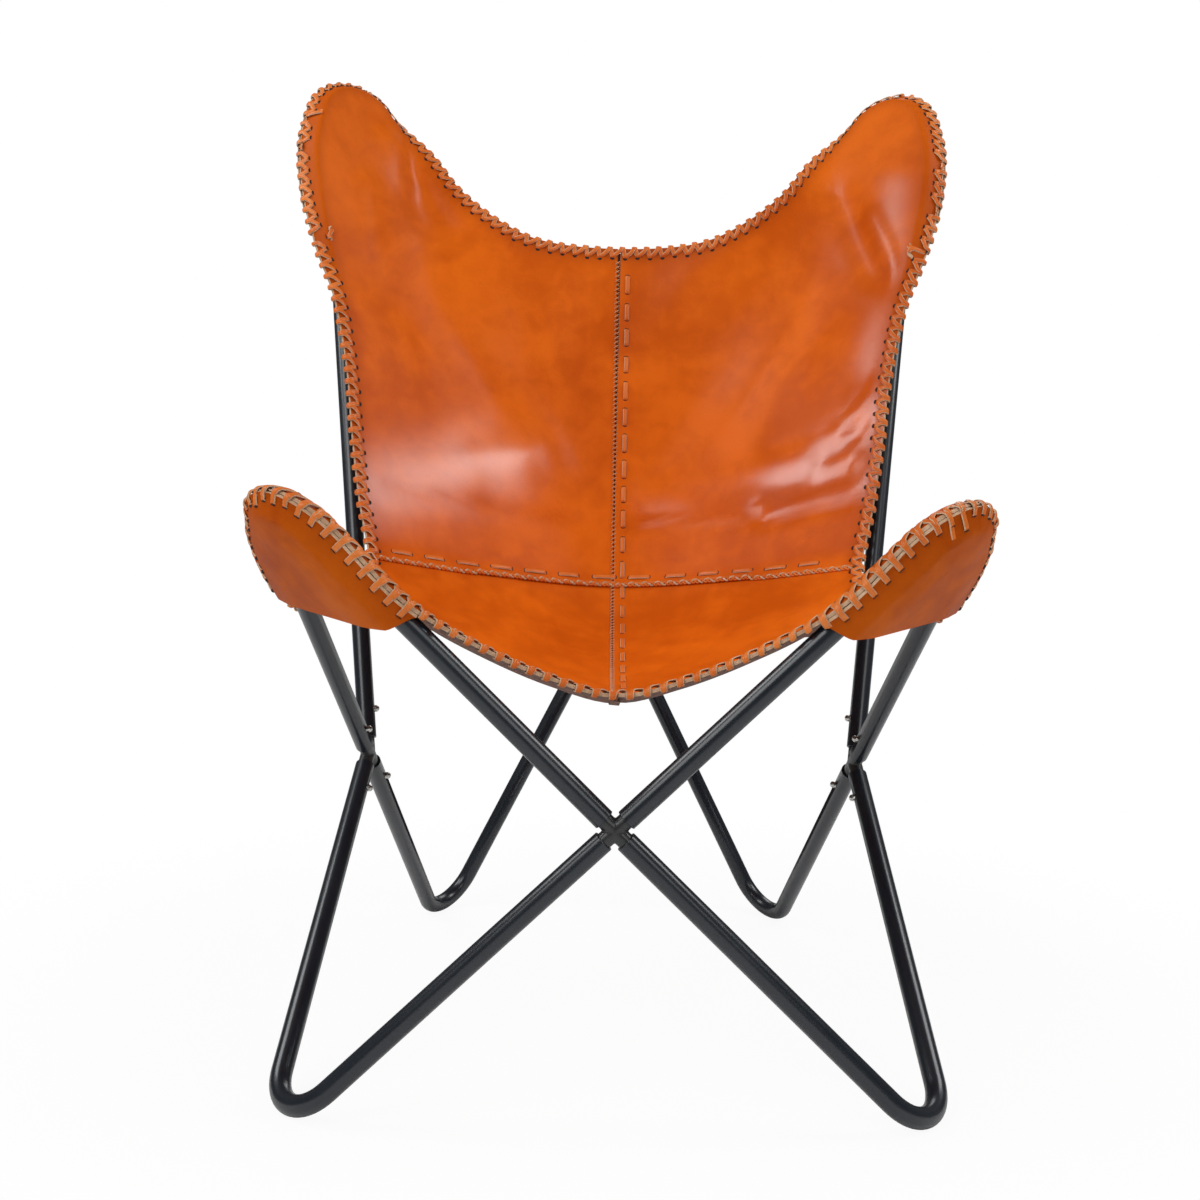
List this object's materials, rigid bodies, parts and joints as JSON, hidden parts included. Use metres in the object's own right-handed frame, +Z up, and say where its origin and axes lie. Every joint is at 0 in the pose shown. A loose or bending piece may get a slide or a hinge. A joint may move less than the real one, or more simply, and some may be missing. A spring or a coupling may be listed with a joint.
{
  "type": "butterfly sling chair",
  "caption": "Knock-down butterfly chair: black bent-tube frame on welded crosses with snap buttons, carrying a laced tan leather sling on corner pockets.",
  "frame": {"origin": "on the floor under the middle of the chair's outline", "axes": "+Z up, +Y towards the back of the chair, +X to the right when looking at it from the front"},
  "size_m": [0.6742, 0.6442, 0.8968],
  "materials": {
    "black_tube": "satin black powder coat",
    "nickel_button": "plated, small and bright",
    "spring_steel": "plain spring steel",
    "tan_leather": "glossy saddle leather, orange tan"
  },
  "bodies": {
    "frame": {"cross_front": "black_tube", "spring_front_lower_left": "spring_steel", "spring_front_upper_left": "spring_steel", "spring_front_lower_right": "spring_steel", "spring_front_upper_right": "spring_steel", "cross_back": "black_tube", "spring_back_lower_left": "spring_steel", "spring_back_upper_left": "spring_steel", "spring_back_lower_right": "spring_steel", "spring_back_upper_right": "spring_steel", "cross_left": "black_tube", "spring_left_lower_front": "spring_steel", "spring_left_lower_rear": "spring_steel", "spring_left_upper_front": "spring_steel", "spring_left_upper_rear": "spring_steel", "cross_right": "black_tube", "spring_right_lower_front": "spring_steel", "spring_right_lower_rear": "spring_steel", "spring_right_upper_front": "spring_steel", "spring_right_upper_rear": "spring_steel", "leg_front_left": "black_tube", "leg_rear_left": "black_tube", "horn_front_left": "black_tube", "horn_rear_left": "black_tube", "leg_front_right": "black_tube", "leg_rear_right": "black_tube", "horn_front_right": "black_tube", "horn_rear_right": "black_tube", "panel_seat_left": "tan_leather", "panel_back_left": "tan_leather", "pocket_front_left": "tan_leather", "pocket_rear_left": "tan_leather", "panel_seat_right": "tan_leather", "panel_back_right": "tan_leather", "pocket_front_right": "tan_leather", "pocket_rear_right": "tan_leather"},
    "button_front_lower_left": {"button_front_lower_left": "nickel_button"},
    "button_front_upper_left": {"button_front_upper_left": "nickel_button"},
    "button_front_lower_right": {"button_front_lower_right": "nickel_button"},
    "button_front_upper_right": {"button_front_upper_right": "nickel_button"},
    "button_back_lower_left": {"button_back_lower_left": "nickel_button"},
    "button_back_upper_left": {"button_back_upper_left": "nickel_button"},
    "button_back_lower_right": {"button_back_lower_right": "nickel_button"},
    "button_back_upper_right": {"button_back_upper_right": "nickel_button"},
    "button_left_lower_front": {"button_left_lower_front": "nickel_button"},
    "button_left_lower_rear": {"button_left_lower_rear": "nickel_button"},
    "button_left_upper_front": {"button_left_upper_front": "nickel_button"},
    "button_left_upper_rear": {"button_left_upper_rear": "nickel_button"},
    "button_right_lower_front": {"button_right_lower_front": "nickel_button"},
    "button_right_lower_rear": {"button_right_lower_rear": "nickel_button"},
    "button_right_upper_front": {"button_right_upper_front": "nickel_button"},
    "button_right_upper_rear": {"button_right_upper_rear": "nickel_button"}
  },
  "joints": [
    {"name": "button_front_lower_left_press", "type": "slide", "parent": "frame", "child": "button_front_lower_left", "axis": [0.0121, -0.9999, 0.0115], "range_m": [0, 0.0045], "stiffness_N_per_m": 800},
    {"name": "button_front_upper_left_press", "type": "slide", "parent": "frame", "child": "button_front_upper_left", "axis": [-0.0114, -0.9999, 0.011], "range_m": [0, 0.0045], "stiffness_N_per_m": 800},
    {"name": "button_front_lower_right_press", "type": "slide", "parent": "frame", "child": "button_front_lower_right", "axis": [-0.0121, -0.9999, 0.0115], "range_m": [0, 0.0045], "stiffness_N_per_m": 800},
    {"name": "button_front_upper_right_press", "type": "slide", "parent": "frame", "child": "button_front_upper_right", "axis": [0.0114, -0.9999, 0.011], "range_m": [0, 0.0045], "stiffness_N_per_m": 800},
    {"name": "button_back_lower_left_press", "type": "slide", "parent": "frame", "child": "button_back_lower_left", "axis": [-0.0087, 0.9998, -0.0173], "range_m": [0, 0.0045], "stiffness_N_per_m": 800},
    {"name": "button_back_upper_left_press", "type": "slide", "parent": "frame", "child": "button_back_upper_left", "axis": [0.0089, 0.9998, -0.0174], "range_m": [0, 0.0045], "stiffness_N_per_m": 800},
    {"name": "button_back_lower_right_press", "type": "slide", "parent": "frame", "child": "button_back_lower_right", "axis": [0.0087, 0.9998, -0.0173], "range_m": [0, 0.0045], "stiffness_N_per_m": 800},
    {"name": "button_back_upper_right_press", "type": "slide", "parent": "frame", "child": "button_back_upper_right", "axis": [-0.0089, 0.9998, -0.0174], "range_m": [0, 0.0045], "stiffness_N_per_m": 800},
    {"name": "button_left_lower_front_press", "type": "slide", "parent": "frame", "child": "button_left_lower_front", "axis": [-0.9966, 0.0653, 0.051], "range_m": [0, 0.0045], "stiffness_N_per_m": 800},
    {"name": "button_left_lower_rear_press", "type": "slide", "parent": "frame", "child": "button_left_lower_rear", "axis": [-0.9941, 0.0806, -0.0726], "range_m": [0, 0.0045], "stiffness_N_per_m": 800},
    {"name": "button_left_upper_front_press", "type": "slide", "parent": "frame", "child": "button_left_upper_front", "axis": [-0.9938, 0.083, -0.0738], "range_m": [0, 0.0045], "stiffness_N_per_m": 800},
    {"name": "button_left_upper_rear_press", "type": "slide", "parent": "frame", "child": "button_left_upper_rear", "axis": [-0.9928, -0.0442, -0.111], "range_m": [0, 0.0045], "stiffness_N_per_m": 800},
    {"name": "button_right_lower_front_press", "type": "slide", "parent": "frame", "child": "button_right_lower_front", "axis": [0.9966, 0.0653, 0.051], "range_m": [0, 0.0045], "stiffness_N_per_m": 800},
    {"name": "button_right_lower_rear_press", "type": "slide", "parent": "frame", "child": "button_right_lower_rear", "axis": [0.9941, 0.0806, -0.0726], "range_m": [0, 0.0045], "stiffness_N_per_m": 800},
    {"name": "button_right_upper_front_press", "type": "slide", "parent": "frame", "child": "button_right_upper_front", "axis": [0.9938, 0.083, -0.0738], "range_m": [0, 0.0045], "stiffness_N_per_m": 800},
    {"name": "button_right_upper_rear_press", "type": "slide", "parent": "frame", "child": "button_right_upper_rear", "axis": [0.9928, -0.0442, -0.111], "range_m": [0, 0.0045], "stiffness_N_per_m": 800}
  ]
}
